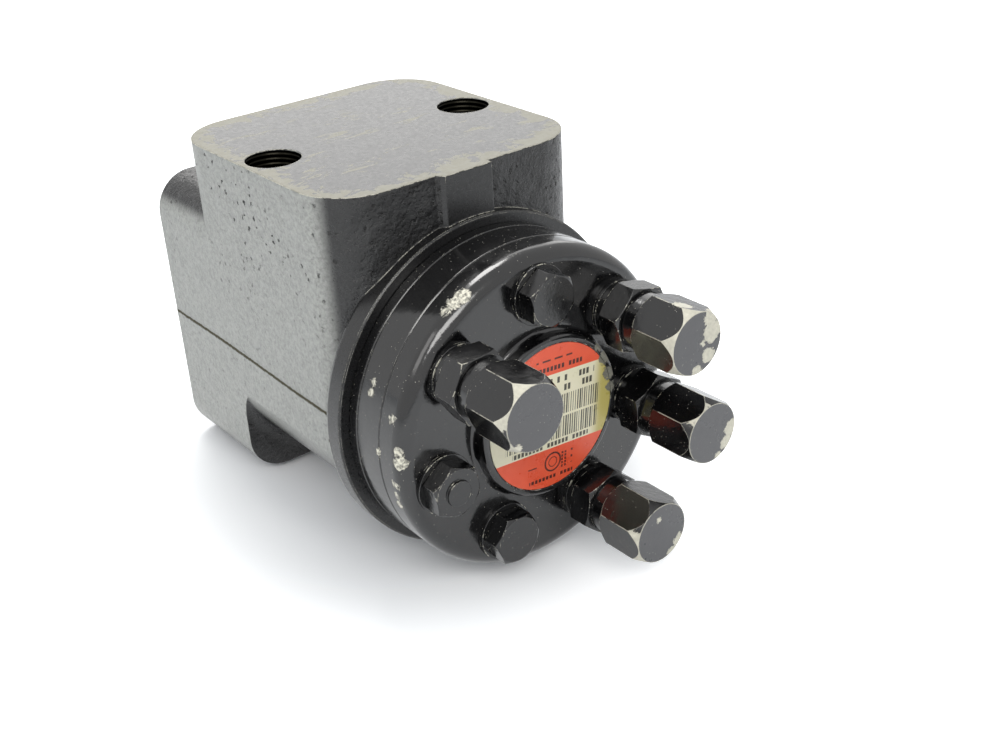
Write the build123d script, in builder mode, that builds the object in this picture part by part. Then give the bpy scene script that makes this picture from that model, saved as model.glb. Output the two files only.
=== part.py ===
from build123d import *
import os
from math import cos, pi, radians, sin, sqrt

# Orbital steering unit.  Millimetres, +Z up.
# The steering axis is Y.  The column mounting face lies at Y = 0 and looks along +Y,
# the end cover is at the -Y end, and the machined port face looks along +Z.

# ---------------------------------------------------------------- housing casting
body_length = 104.0
flange_width = 81.0
flange_height = 86.4
flange_corner = 11.5
flange_depth = 37.2
block_width = 81.0
block_rear = -17.6
rim_lead = 3.3
block_corner = 16.0
port_face_z = 60.5
barrel_radius = 43.0
cast_fillet = 4.0
rim_radius = 47.7
rim_front = -body_length
block_front = rim_front + rim_lead
rim_band = 5.3
rim_round = 1.7
rim_blend = 6.0
rim_blend_foot = 39.4
pad_left = 8.3
pad_right = 6.5
pad_height = 2.0
pad_slope = 1.6
pad_foot_z = 44.0
worn_edge = 0.4

# ---------------------------------------------------------------- column end and main bore
pilot_radius = 20.65
pilot_depth = 3.0
seal_seat_radius = 17.2
dust_seal_depth = 3.5
web_radius = 13.8
web_depth = 1.5
shaft_seal_width = 4.0
bore_radius = 18.03
groove_radius = 22.0
groove_width = 5.0
tank_groove_setback = 60.0
left_groove_setback = 51.7
right_groove_setback = 39.7
pump_groove_setback = 29.0
column_circle = 82.5
column_hole_radius = 4.25
column_hole_depth = 18.0

# ---------------------------------------------------------------- ports
port_radius = 7.5
port_depth = 13.0
top_port_x = 31.4
side_port_z = 7.0
spot_face_radius = 11.5
spot_face_depth = 0.6
passage_radius = 4.0
passage_end_radius = 20.0
gallery_radius = 2.0

# ---------------------------------------------------------------- gear stack
stack_radius = 44.7
plate_thickness = 3.5
plate_hole_radius = 11.0
ring_thickness = 9.8
cover_thickness = 9.4
cover_fillet = 4.0
boss_radius = 22.5
boss_height = 4.1
boss_round = 1.0
boss_blend = 1.2
label_radius = 20.4
label_thickness = 0.3
label_recess = 0.4
label_gap = 0.2
feed_circle = 25.2
feed_radius = 2.2
feed_depth = 14.0
commutator_setback = 12.0
commutator_radius = 2.0

# ---------------------------------------------------------------- seal rings of the stack
ring_groove_inner = 39.2
ring_groove_outer = 41.4
ring_groove_depth = 1.3
ring_side_gap = 0.15

# ---------------------------------------------------------------- gear set
ring_lobes = 7
rotor_lobes = 6
eccentricity = 2.4
lobe_circle = 32.0
lobe_radius = 8.0
ring_root_gap = 0.1
gear_clearance = 0.06
rotor_side_gap = 0.03
rotor_points_per_lobe = 14

# ---------------------------------------------------------------- fasteners
bolt_circle = 33.6
thread_radius = 4.0
thread_hole_radius = 4.05
thread_hole_depth = 24.0
clearance_hole_radius = 4.3
screw_length = 40.0
head_across_flats = 13.0
head_height = 5.3
washer_radius = 8.1
washer_thickness = 1.0
stud_outer_radius = 5.0
stud_bore_gap = 0.03
stud_hold = 18.0
stud_end_gap = 1.0
nut_across_flats = 17.0
nut_collar_radius = 7.9
nut_collar_height = 2.3
nut_height = 9.5
cap_gap = 0.1
cap_collar_radius = 7.8
cap_collar_height = 3.9
cap_height = 18.9
cap_end_wall = 5.2
# what sits at each place of the bolt circle, from the top towards +X
fastener_kinds = ["screw", "stud", "stud", "stud", "screw", "check", "stud"]
pip_radius = 3.6
pip_height = 0.7
# cones that trim the corners of the hexagons: reach across, depth at the front and rear
head_trim = 1.1
head_trim_front = 0.7
head_trim_rear = 0.2
nut_trim = 1.2
nut_trim_front = 0.7
nut_trim_rear = 0.7
cap_trim = 1.4
cap_trim_front = 3.4
cap_trim_rear = 1.6
# turn of the heads and caps, and of the nuts, at each place, degrees, as the wrench left them
hexagon_turns = [36, 43, 29, 40, 53, 38, 52]
nut_turns = [0, 46, 31, 20, 0, 0, 3]

# ---------------------------------------------------------------- check valve
check_hole_depth = 38.0
seat_length = 4.0
seat_bore_radius = 2.0
ball_radius = 3.0
ball_gap = 0.02
ball_lift = 1.5
stop_pin_radius = 2.4

# ---------------------------------------------------------------- spool and sleeve
sleeve_radius = 18.0
sleeve_bore_radius = 13.45
sleeve_end_gap = 0.3
sleeve_neck_radius = 17.2
sleeve_neck_gap = 0.3
spool_radius = 13.4
spool_bore_radius = 10.0
spool_setback = 4.0
spool_end_gap = 0.5
socket_length = 16.0
socket_minor = 8.7
socket_major = 10.1
socket_teeth = 12
pin_from_window = 9.0
pin_radius = 3.98
pin_hole_radius = 4.0
pin_length = 35.0
spool_pin_hole_radius = 6.05
window_setback = 3.5
window_length = 6.0
window_half_width = 2.6
leaf_thickness = 0.5
leaf_length = 34.0
leaf_bow = 0.9
leaf_step = 0.52
leaf_outer = 2.5
leaf_width = 5.8
spring_ring_lap_rear = 0.7
spring_ring_lap_front = 1.2
spring_ring_inner = 17.23
spring_ring_outer = 17.93
pocket_width = 2.4
pocket_depth = 1.0
pocket_lap = 2.5
drain_radius = 1.8
metering_radius = 1.4
commutator_hole_radius = 1.6
commutator_holes = 12
metering_holes = 4
seal_running_gap = 0.05

# ---------------------------------------------------------------- axial bearing
race_thickness = 1.0
race_inner = 13.7
race_outer = 17.85
needle_radius = 0.99
needle_gap = 0.01
needle_count = 12
needle_length = 2.4
cage_thickness = 1.4
cage_inner = 14.0
cage_outer = 17.7
pocket_gap = 0.04

# ---------------------------------------------------------------- cardan shaft
cardan_teeth = 12
rotor_spline_minor = 7.2
rotor_spline_major = 8.6
head_root = 6.9
head_tip = 8.35
spline_side_gap = 0.2
fork_rear = 7.0
fork_head_length = 18.0
fork_head_radius = 9.2
fork_slot_width = 8.5
fork_slot_bottom = 4.4
shank_radius = 5.5
head_behind_rotor_mid = 6.9
head_past_rotor_mid = 2.1
crown = 0.35
spacer_radius = 6.5
spacer_thickness = 2.0
spacer_gap = 0.2

# ---------------------------------------------------------------- places along the axis
tank_groove_y = rim_front + tank_groove_setback
left_groove_y = rim_front + left_groove_setback
right_groove_y = rim_front + right_groove_setback
pump_groove_y = rim_front + pump_groove_setback
top_port_y = (left_groove_y + right_groove_y) / 2
commutator_y = rim_front + commutator_setback
plate_front = rim_front - plate_thickness
ring_front = plate_front - ring_thickness
rotor_mid_y = (plate_front + ring_front) / 2
spacer_front = ring_front + spacer_gap
spacer_rear = spacer_front + spacer_thickness
cover_front = ring_front - cover_thickness
boss_front = cover_front - boss_height
washer_front = cover_front - washer_thickness
nut_front = washer_front - nut_height
cap_rear = nut_front - cap_gap
cap_front = cap_rear - cap_height
cap_bore_end = cap_front + cap_end_wall
stud_end_y = cap_bore_end + stud_end_gap
stud_foot_y = rim_front + stud_hold
check_hole_bottom = rim_front + check_hole_depth
seat_front = check_hole_bottom - seat_length
ball_y = seat_front - sqrt(ball_radius**2 - seat_bore_radius**2) - ball_gap
pin_stop_y = ball_y - ball_radius - ball_lift
bearing_rear = -pilot_depth - dust_seal_depth - web_depth - shaft_seal_width - web_depth
needle_y = bearing_rear - race_thickness - needle_radius - needle_gap
sleeve_rear = needle_y - needle_radius - needle_gap - race_thickness
sleeve_front = rim_front + sleeve_end_gap
window_rear = sleeve_rear - window_setback
window_front = window_rear - window_length
spring_ring_rear = window_rear + spring_ring_lap_rear
spring_ring_front = window_front - spring_ring_lap_front
sleeve_neck_front = spring_ring_front - sleeve_neck_gap
pin_y = window_front - pin_from_window
spool_rear = -spool_setback
spool_front = rim_front + spool_end_gap
socket_front = spool_rear - socket_length
pin_to_rotor = pin_y - rotor_mid_y
front_head_start = pin_to_rotor - head_behind_rotor_mid
front_head_end = pin_to_rotor + head_past_rotor_mid


def across(y):
    """Plane square to the steering axis, drawn as seen from the cover end."""
    return Plane(origin=(0, y, 0), x_dir=(1, 0, 0), z_dir=(0, -1, 0))


def radial(y, angle, start=0.0):
    """Plane that looks outward from the axis; the angle runs from +Z towards +X."""
    out = Vector(sin(radians(angle)), 0, cos(radians(angle)))
    return Plane(origin=out * start + Vector(0, y, 0), x_dir=(0, 1, 0), z_dir=out)


places = range(len(fastener_kinds))
plain_places = [place for place in places if fastener_kinds[place] == "screw"]
stud_places = [place for place in places if fastener_kinds[place] == "stud"]
check_place = fastener_kinds.index("check")


def bolt(place):
    """Centre of one of the seven cover fasteners, numbered from the top towards +X."""
    angle = 2 * pi * place / ring_lobes
    return (bolt_circle * sin(angle), bolt_circle * cos(angle))


all_bolts = [bolt(place) for place in range(ring_lobes)]
bolt_angles = [360.0 * place / ring_lobes for place in range(ring_lobes)]
gap_angles = [360.0 * (place + 0.5) / ring_lobes for place in range(ring_lobes)]
gap_points = [(feed_circle * sin(radians(a)), feed_circle * cos(radians(a))) for a in gap_angles]
column_offset = column_circle / 2 * sqrt(0.5)

# ---------------------------------------------------------------- housing
with BuildPart() as under_cut:
    with BuildSketch(across(-flange_depth)):
        with Locations((0, -barrel_radius * 1.5)):
            Rectangle(barrel_radius * 4, barrel_radius * 3)
        Circle(barrel_radius, mode=Mode.SUBTRACT)
    extrude(amount=-flange_depth - rim_front)
    back_face = under_cut.faces().sort_by(Axis.Y)[-1]
    fillet(back_face.edges().filter_by(GeomType.CIRCLE), radius=cast_fillet)

with BuildPart() as barrel:
    with BuildSketch(Plane.XY.offset(-barrel_radius)):
        with Locations((0, (block_rear + block_front) / 2)):
            RectangleRounded(block_width, block_rear - block_front, block_corner)
    extrude(amount=barrel_radius)
    with BuildSketch(across(block_rear)):
        Circle(barrel_radius)
    extrude(amount=block_rear - block_front, mode=Mode.INTERSECT)

with BuildPart() as rim:
    with BuildSketch(Plane.XY):
        with BuildLine():
            band_rear = rim_front + rim_band
            wall_y = band_rear + rim_round
            arc = rim_round * sqrt(0.5)
            bend = rim_blend * sqrt(0.5)
            foot = rim_blend_foot + rim_blend
            l1 = Line((0, rim_front), (rim_radius - worn_edge, rim_front))
            l2 = Line(l1 @ 1, (rim_radius, rim_front + worn_edge))
            l3 = Line(l2 @ 1, (rim_radius, band_rear))
            l4 = ThreePointArc(
                l3 @ 1,
                (rim_radius - rim_round + arc, band_rear + arc),
                (rim_radius - rim_round, wall_y),
            )
            l5 = Line(l4 @ 1, (foot, wall_y))
            l6 = ThreePointArc(
                l5 @ 1,
                (foot - bend, wall_y + rim_blend - bend),
                (rim_blend_foot, wall_y + rim_blend),
            )
            l7 = Line(l6 @ 1, (0, wall_y + rim_blend))
            Line(l7 @ 1, l1 @ 0)
        make_face()
    revolve(axis=Axis.Y)

with BuildPart() as bore:
    with BuildSketch(Plane.XY):
        with BuildLine():
            y1 = -pilot_depth
            y2 = y1 - dust_seal_depth
            y3 = y2 - web_depth
            y4 = y3 - shaft_seal_width
            half = groove_width / 2
            steps = [(0, 1), (pilot_radius, 1), (pilot_radius, y1), (seal_seat_radius, y1)]
            steps += [(seal_seat_radius, y2), (web_radius, y2), (web_radius, y3)]
            steps += [(seal_seat_radius, y3), (seal_seat_radius, y4), (web_radius, y4)]
            steps += [(web_radius, bearing_rear), (bore_radius, bearing_rear)]
            for y in (tank_groove_y, left_groove_y, right_groove_y, pump_groove_y):
                steps += [(bore_radius, y + half), (groove_radius, y + half)]
                steps += [(groove_radius, y - half), (bore_radius, y - half)]
            steps += [(bore_radius, rim_front - 1), (0, rim_front - 1)]
            Polyline(*steps, close=True)
        make_face()
    revolve(axis=Axis.Y)

with BuildPart() as housing:
    with BuildSketch(across(0)):
        RectangleRounded(flange_width, flange_height, flange_corner)
    extrude(amount=flange_depth + cast_fillet + 1)
    with BuildSketch(Plane.XY):
        with Locations((0, (block_rear + block_front) / 2)):
            RectangleRounded(block_width, block_rear - block_front, block_corner)
    extrude(amount=port_face_z)
    add(barrel.part)
    add(under_cut.part, mode=Mode.SUBTRACT)
    add(rim.part)
    with BuildSketch(Plane.XY.offset(pad_foot_z)):
        Polygon(
            (-pad_left - pad_slope, block_front + 1),
            (-pad_left - pad_slope, block_front),
            (-pad_left, block_front - pad_height),
            (pad_right, block_front - pad_height),
            (pad_right, block_front + 1),
            align=None,
        )
    extrude(amount=port_face_z - pad_foot_z)
    add(bore.part, mode=Mode.SUBTRACT)

    # cylinder ports in the top face, with slanted passages to their bore grooves
    with BuildSketch(Plane.XY.offset(port_face_z)):
        with Locations((-top_port_x, top_port_y), (top_port_x, top_port_y)):
            Circle(port_radius)
    extrude(amount=-port_depth, mode=Mode.SUBTRACT)
    port_floor = port_face_z - port_depth
    for side, groove_y in ((-1, left_groove_y), (1, right_groove_y)):
        top = Vector(side * top_port_x, top_port_y, port_floor)
        aim = Vector(0, groove_y, 0) - top
        reach = 1 - passage_end_radius / sqrt(top_port_x**2 + port_floor**2)
        with BuildSketch(Plane(origin=top - aim * 0.04, z_dir=aim)):
            Circle(passage_radius)
        extrude(amount=aim.length * (reach + 0.04), mode=Mode.SUBTRACT)

    # pump and tank ports in the +X side face
    half_width = block_width / 2
    with BuildSketch(Plane.YZ.offset(half_width)):
        with Locations((tank_groove_y, side_port_z), (pump_groove_y, side_port_z)):
            Circle(spot_face_radius)
    extrude(amount=-spot_face_depth, mode=Mode.SUBTRACT)
    with BuildSketch(Plane.YZ.offset(half_width)):
        with Locations((tank_groove_y, side_port_z), (pump_groove_y, side_port_z)):
            Circle(port_radius)
    extrude(amount=-port_depth - spot_face_depth, mode=Mode.SUBTRACT)
    with BuildSketch(Plane.YZ.offset(half_width - port_depth)):
        with Locations((tank_groove_y, side_port_z), (pump_groove_y, side_port_z)):
            Circle(passage_radius)
    extrude(amount=passage_end_radius - half_width + port_depth, mode=Mode.SUBTRACT)

    # column screw holes
    with BuildSketch(across(0)):
        with GridLocations(2 * column_offset, 2 * column_offset, 2, 2):
            Circle(column_hole_radius)
    extrude(amount=column_hole_depth, mode=Mode.SUBTRACT)

    # cover fastener holes and the feed holes of the gear chambers
    with BuildSketch(across(rim_front)):
        with Locations(*all_bolts):
            Circle(thread_hole_radius)
    extrude(amount=-thread_hole_depth, mode=Mode.SUBTRACT)
    with BuildSketch(across(rim_front)):
        with Locations(*gap_points):
            Circle(feed_radius)
    extrude(amount=-feed_depth, mode=Mode.SUBTRACT)
    with BuildSketch(*[radial(commutator_y, angle, web_radius) for angle in gap_angles]):
        Circle(commutator_radius)
    extrude(amount=feed_circle - web_radius, mode=Mode.SUBTRACT)

    # check valve hole behind one cover screw, joined to the pump and tank grooves
    with BuildSketch(across(rim_front)):
        with Locations(bolt(check_place)):
            Circle(thread_hole_radius)
    extrude(amount=rim_front - check_hole_bottom, mode=Mode.SUBTRACT)
    with BuildSketch(across(check_hole_bottom)):
        with Locations(bolt(check_place)):
            Circle(gallery_radius)
    extrude(amount=check_hole_bottom - tank_groove_y, mode=Mode.SUBTRACT)
    check_angle = bolt_angles[check_place]
    with BuildSketch(
        radial(tank_groove_y, check_angle, passage_end_radius),
        radial(pump_groove_y, check_angle, passage_end_radius),
    ):
        Circle(gallery_radius)
    extrude(amount=bolt_circle - passage_end_radius, mode=Mode.SUBTRACT)

    # seal ring groove in the front face
    with BuildSketch(across(rim_front)):
        Circle(ring_groove_outer)
        Circle(ring_groove_inner, mode=Mode.SUBTRACT)
    extrude(amount=-ring_groove_depth, mode=Mode.SUBTRACT)

# ---------------------------------------------------------------- distributor plate
with BuildPart() as distributor_plate:
    with BuildSketch(across(rim_front)):
        Circle(stack_radius)
        Circle(plate_hole_radius, mode=Mode.SUBTRACT)
        with Locations(*all_bolts):
            Circle(clearance_hole_radius, mode=Mode.SUBTRACT)
        with Locations(*gap_points):
            Circle(feed_radius, mode=Mode.SUBTRACT)
    extrude(amount=plate_thickness)
    outer = distributor_plate.edges().filter_by(GeomType.CIRCLE).filter_by(
        lambda edge: abs(edge.radius - stack_radius) < 0.01
    )
    chamfer(outer, length=0.25)
    with BuildSketch(across(plate_front)):
        Circle(ring_groove_outer)
        Circle(ring_groove_inner, mode=Mode.SUBTRACT)
    extrude(amount=-ring_groove_depth, mode=Mode.SUBTRACT)

# ---------------------------------------------------------------- gear ring with seven lobes
root_radius = lobe_circle - lobe_radius + 2 * eccentricity + ring_root_gap
lobe_points = [(x * lobe_circle / bolt_circle, z * lobe_circle / bolt_circle) for x, z in all_bolts]
with BuildPart() as gear_ring:
    with BuildSketch(across(plate_front)):
        Circle(stack_radius)
        Circle(root_radius, mode=Mode.SUBTRACT)
        with Locations(*lobe_points):
            Circle(lobe_radius)
        with Locations(*all_bolts):
            Circle(clearance_hole_radius, mode=Mode.SUBTRACT)
    extrude(amount=ring_thickness)
    outer = gear_ring.edges().filter_by(GeomType.CIRCLE).filter_by(
        lambda edge: abs(edge.radius - stack_radius) < 0.01
    )
    chamfer(outer, length=0.35)

# ---------------------------------------------------------------- gear rotor with six lobes
# The lobe centres of the ring trace this curve round the rotor; the flank runs parallel to
# it, one lobe radius and the running clearance inside.
flank = []
for step in range(rotor_lobes * rotor_points_per_lobe):
    psi = 2 * pi * step / (rotor_lobes * rotor_points_per_lobe)
    many = ring_lobes * psi
    px = lobe_circle * cos(psi) - eccentricity * cos(many)
    py = lobe_circle * sin(psi) - eccentricity * sin(many)
    tx = -lobe_circle * sin(psi) + ring_lobes * eccentricity * sin(many)
    ty = lobe_circle * cos(psi) - ring_lobes * eccentricity * cos(many)
    length = sqrt(tx**2 + ty**2)
    inset = lobe_radius + gear_clearance
    qx = px - inset * ty / length
    qy = py + inset * tx / length
    # turned a quarter so that a valley faces the top lobe
    flank.append((-qy, qx + eccentricity))

spline_pitch = 2 * pi / cardan_teeth
rotor_mean = (rotor_spline_minor + rotor_spline_major) / 2
tooth_space = rotor_mean * spline_pitch / 2 + spline_side_gap
with BuildPart() as gear_rotor:
    with BuildSketch(across(plate_front - rotor_side_gap / 2)):
        with BuildLine():
            Spline(*flank, periodic=True)
        make_face()
        with Locations((0, eccentricity)):
            Circle(rotor_spline_minor, mode=Mode.SUBTRACT)
            with PolarLocations(0, cardan_teeth):
                Polygon(
                    (rotor_spline_minor - 1, -tooth_space * 0.62),
                    (rotor_spline_major, -tooth_space * 0.38),
                    (rotor_spline_major, tooth_space * 0.38),
                    (rotor_spline_minor - 1, tooth_space * 0.62),
                    align=None,
                    mode=Mode.SUBTRACT,
                )
    extrude(amount=ring_thickness - rotor_side_gap)

# ---------------------------------------------------------------- end cover
with BuildPart() as end_cover:
    with BuildSketch(Plane.XY):
        with BuildLine():
            turn = cover_fillet * (1 - sqrt(0.5))
            soft = boss_blend * (1 - sqrt(0.5))
            lip = boss_round * (1 - sqrt(0.5))
            l1 = Line((0, ring_front), (stack_radius - 0.3, ring_front))
            l2 = Line(l1 @ 1, (stack_radius, ring_front - 0.3))
            l3 = Line(l2 @ 1, (stack_radius, cover_front + cover_fillet))
            l4 = ThreePointArc(
                l3 @ 1,
                (stack_radius - turn, cover_front + turn),
                (stack_radius - cover_fillet, cover_front),
            )
            l5 = Line(l4 @ 1, (boss_radius + boss_blend, cover_front))
            l6 = ThreePointArc(
                l5 @ 1,
                (boss_radius + soft, cover_front - soft),
                (boss_radius, cover_front - boss_blend),
            )
            l7 = Line(l6 @ 1, (boss_radius, boss_front + boss_round))
            l8 = ThreePointArc(
                l7 @ 1,
                (boss_radius - lip, boss_front + lip),
                (boss_radius - boss_round, boss_front),
            )
            l9 = Line(l8 @ 1, (label_radius + label_gap, boss_front))
            l10 = Line(l9 @ 1, (label_radius + label_gap, boss_front + label_recess))
            l11 = Line(l10 @ 1, (0, boss_front + label_recess))
            Line(l11 @ 1, l1 @ 0)
        make_face()
    revolve(axis=Axis.Y)
    with BuildSketch(across(ring_front)):
        with Locations(*all_bolts):
            Circle(clearance_hole_radius)
    extrude(amount=cover_thickness, mode=Mode.SUBTRACT)
    with BuildSketch(across(ring_front)):
        Circle(ring_groove_outer)
        Circle(ring_groove_inner, mode=Mode.SUBTRACT)
    extrude(amount=ring_groove_depth, mode=Mode.SUBTRACT)

with BuildPart() as label_plate:
    with BuildSketch(across(boss_front + label_recess)):
        Circle(label_radius)
    extrude(amount=label_thickness)

# ---------------------------------------------------------------- seal rings of the stack
seal_rings = {}
groove_floors = (
    ("housing_o_ring", rim_front + ring_groove_depth),
    ("plate_o_ring", plate_front + ring_groove_depth),
    ("cover_o_ring", ring_front),
)
for name, rear_y in groove_floors:
    with BuildPart() as seal_ring:
        with BuildSketch(across(rear_y)):
            Circle(ring_groove_outer - ring_side_gap)
            Circle(ring_groove_inner + ring_side_gap, mode=Mode.SUBTRACT)
        extrude(amount=ring_groove_depth)
    seal_rings[name] = seal_ring

# ---------------------------------------------------------------- cover fasteners
with BuildPart() as washers:
    with BuildSketch(across(cover_front)):
        with Locations(*all_bolts):
            Circle(washer_radius)
            Circle(clearance_hole_radius, mode=Mode.SUBTRACT)
    extrude(amount=washer_thickness)


def hexagon(place, rear_y, front_y, flats, turn, trim, trim_front, trim_rear):
    """Hexagon on one fastener axis, its corners trimmed to a cone at both ends."""
    x, z = bolt(place)
    corner = flats / sqrt(3) + 0.02
    with BuildPart() as blank:
        with BuildSketch(Plane(origin=(x, 0, z), x_dir=(1, 0, 0), z_dir=(0, 0, 1))):
            Polygon(
                (0, front_y),
                (corner - trim, front_y),
                (corner, front_y + trim_front),
                (corner, rear_y - trim_rear),
                (corner - trim, rear_y),
                (0, rear_y),
                align=None,
            )
        revolve(axis=Axis((x, 0, z), (0, 1, 0)))
    with BuildPart() as prism:
        with BuildSketch(across(rear_y)):
            with Locations((x, z)):
                RegularPolygon(flats / 2, 6, major_radius=False, rotation=turn)
        extrude(amount=rear_y - front_y)
        add(blank.part, mode=Mode.INTERSECT)
    return prism.part


head_front = washer_front - head_height
screw_heads = {}
for place in plain_places + [check_place]:
    screw_heads[place] = hexagon(
        place,
        washer_front,
        head_front,
        head_across_flats,
        hexagon_turns[place],
        head_trim,
        head_trim_front,
        head_trim_rear,
    )
with BuildPart() as cover_screws:
    for place in plain_places:
        add(screw_heads[place])
    with BuildSketch(across(washer_front)):
        with Locations(*[bolt(place) for place in plain_places]):
            Circle(thread_radius)
    extrude(amount=-screw_length)

with BuildPart() as check_screw:
    add(screw_heads[check_place])
    with BuildSketch(across(head_front)):
        with Locations(bolt(check_place)):
            Circle(pip_radius)
    extrude(amount=pip_height, taper=12)
    with BuildSketch(across(washer_front)):
        with Locations(bolt(check_place)):
            Circle(thread_radius)
    extrude(amount=-screw_length)
    with BuildSketch(across(washer_front + screw_length)):
        with Locations(bolt(check_place)):
            Circle(stop_pin_radius)
    extrude(amount=washer_front + screw_length - pin_stop_y)

stud_points = [bolt(place) for place in stud_places]
with BuildPart() as cover_studs:
    with BuildSketch(across(stud_foot_y)):
        with Locations(*stud_points):
            Circle(thread_radius)
    extrude(amount=stud_foot_y - washer_front)
    with BuildSketch(across(washer_front)):
        with Locations(*stud_points):
            Circle(stud_outer_radius)
    extrude(amount=washer_front - stud_end_y)

nut_hexagons = []
cap_hexagons = []
for place in stud_places:
    nut_hexagons.append(
        hexagon(
            place,
            washer_front - nut_collar_height,
            nut_front,
            nut_across_flats,
            nut_turns[place],
            nut_trim,
            nut_trim_front,
            nut_trim_rear,
        )
    )
    cap_hexagons.append(
        hexagon(
            place,
            cap_rear - cap_collar_height,
            cap_front,
            nut_across_flats,
            hexagon_turns[place],
            cap_trim,
            cap_trim_front,
            cap_trim_rear,
        )
    )

with BuildPart() as stud_nuts:
    for nut in nut_hexagons:
        add(nut)
    with BuildSketch(across(washer_front)):
        with Locations(*stud_points):
            Circle(nut_collar_radius)
    extrude(amount=nut_collar_height)
    with BuildSketch(across(washer_front)):
        with Locations(*stud_points):
            Circle(stud_outer_radius + stud_bore_gap)
    extrude(amount=nut_height, mode=Mode.SUBTRACT)

with BuildPart() as cap_nuts:
    for cap in cap_hexagons:
        add(cap)
    with BuildSketch(across(cap_rear)):
        with Locations(*stud_points):
            Circle(cap_collar_radius)
    extrude(amount=cap_collar_height)
    with BuildSketch(across(cap_rear)):
        with Locations(*stud_points):
            Circle(stud_outer_radius + stud_bore_gap)
    extrude(amount=cap_rear - cap_bore_end, mode=Mode.SUBTRACT)

# ---------------------------------------------------------------- check valve
check_x, check_z = bolt(check_place)
with BuildPart() as check_seat:
    with BuildSketch(across(check_hole_bottom)):
        with Locations(bolt(check_place)):
            Circle(thread_radius)
            Circle(seat_bore_radius, mode=Mode.SUBTRACT)
    extrude(amount=seat_length)

with BuildPart() as check_ball:
    with Locations((check_x, ball_y, check_z)):
        Sphere(ball_radius)

# ---------------------------------------------------------------- seals of the column end
with BuildPart() as dust_seal:
    with BuildSketch(Plane.XY):
        lip = spool_radius + seal_running_gap
        dust_rear = -pilot_depth
        dust_front = dust_rear - dust_seal_depth
        Polygon(
            (lip, dust_rear - 0.2),
            (lip + 0.9, dust_rear - 0.2),
            (lip + 1.5, dust_rear - 1.2),
            (seal_seat_radius - 1.0, dust_rear - 1.2),
            (seal_seat_radius - 1.0, dust_rear),
            (seal_seat_radius, dust_rear),
            (seal_seat_radius, dust_front),
            (lip + 1.2, dust_front),
            (lip, dust_rear - 1.4),
            align=None,
        )
    revolve(axis=Axis.Y)

with BuildPart() as shaft_seal:
    with BuildSketch(Plane.XY):
        lip = spool_radius + seal_running_gap
        seal_rear = y3
        seal_front = y4
        Polygon(
            (lip, seal_rear - 1.2),
            (lip + 1.2, seal_rear),
            (seal_seat_radius, seal_rear),
            (seal_seat_radius, seal_front),
            (lip + 2.4, seal_front),
            (lip + 1.6, seal_rear - 1.8),
            (lip + 1.0, seal_rear - 2.2),
            (lip + 0.7, seal_front + 0.2),
            (lip, seal_front + 0.2),
            align=None,
        )
    revolve(axis=Axis.Y)

# ---------------------------------------------------------------- axial needle bearing
with BuildPart() as outer_bearing_race:
    with BuildSketch(across(bearing_rear)):
        Circle(race_outer)
        Circle(race_inner, mode=Mode.SUBTRACT)
    extrude(amount=race_thickness)

with BuildPart() as inner_bearing_race:
    with BuildSketch(across(sleeve_rear + race_thickness)):
        Circle(race_outer)
        Circle(race_inner, mode=Mode.SUBTRACT)
    extrude(amount=race_thickness)

needle_circle = (cage_inner + cage_outer) / 2
needle_angles = [360.0 * index / needle_count for index in range(needle_count)]
needle_start = needle_circle - needle_length / 2
with BuildPart() as needle_cage:
    with BuildSketch(across(needle_y + cage_thickness / 2)):
        Circle(cage_outer)
        Circle(cage_inner, mode=Mode.SUBTRACT)
        with PolarLocations(needle_circle, needle_count, start_angle=90):
            Rectangle(
                needle_length + 2 * pocket_gap,
                2 * (needle_radius + pocket_gap),
                mode=Mode.SUBTRACT,
            )
    extrude(amount=cage_thickness)

with BuildPart() as bearing_needles:
    with BuildSketch(*[radial(needle_y, angle, needle_start) for angle in needle_angles]):
        Circle(needle_radius)
    extrude(amount=needle_length)

# ---------------------------------------------------------------- sleeve
sixths = [60.0 * index + 30 for index in range(6)]
commutator_angles = [360.0 * (index + 0.5) / commutator_holes for index in range(commutator_holes)]
metering_angles = [360.0 * (index + 0.5) / metering_holes for index in range(metering_holes)]
with BuildPart() as sleeve:
    with BuildSketch(Plane.XY):
        Polygon(
            (sleeve_bore_radius, sleeve_rear),
            (sleeve_neck_radius, sleeve_rear),
            (sleeve_neck_radius, sleeve_neck_front),
            (sleeve_radius, sleeve_neck_front),
            (sleeve_radius, sleeve_front),
            (sleeve_bore_radius, sleeve_front),
            align=None,
        )
    revolve(axis=Axis.Y)
    # window for the centring springs, and the cross pin hole
    with BuildSketch(Plane.XY.offset(-sleeve_radius - 1)):
        with Locations((0, (window_rear + window_front) / 2)):
            Rectangle(2 * window_half_width, window_rear - window_front)
    extrude(amount=2 * sleeve_radius + 2, mode=Mode.SUBTRACT)
    with BuildSketch(Plane.YZ.offset(-sleeve_radius - 1)):
        with Locations((pin_y, 0)):
            Circle(pin_hole_radius)
    extrude(amount=2 * sleeve_radius + 2, mode=Mode.SUBTRACT)
    # metering holes
    with BuildSketch(*[radial(commutator_y, angle) for angle in commutator_angles]):
        Circle(commutator_hole_radius)
    extrude(amount=sleeve_radius + 1, mode=Mode.SUBTRACT)
    groove_rows = (tank_groove_y, left_groove_y, right_groove_y, pump_groove_y)
    with BuildSketch(*[radial(y, angle) for y in groove_rows for angle in metering_angles]):
        Circle(metering_radius)
    extrude(amount=sleeve_radius + 1, mode=Mode.SUBTRACT)

with BuildPart() as spring_ring:
    with BuildSketch(across(spring_ring_rear)):
        Circle(spring_ring_outer)
        Circle(spring_ring_inner, mode=Mode.SUBTRACT)
    extrude(amount=spring_ring_rear - spring_ring_front)

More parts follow.
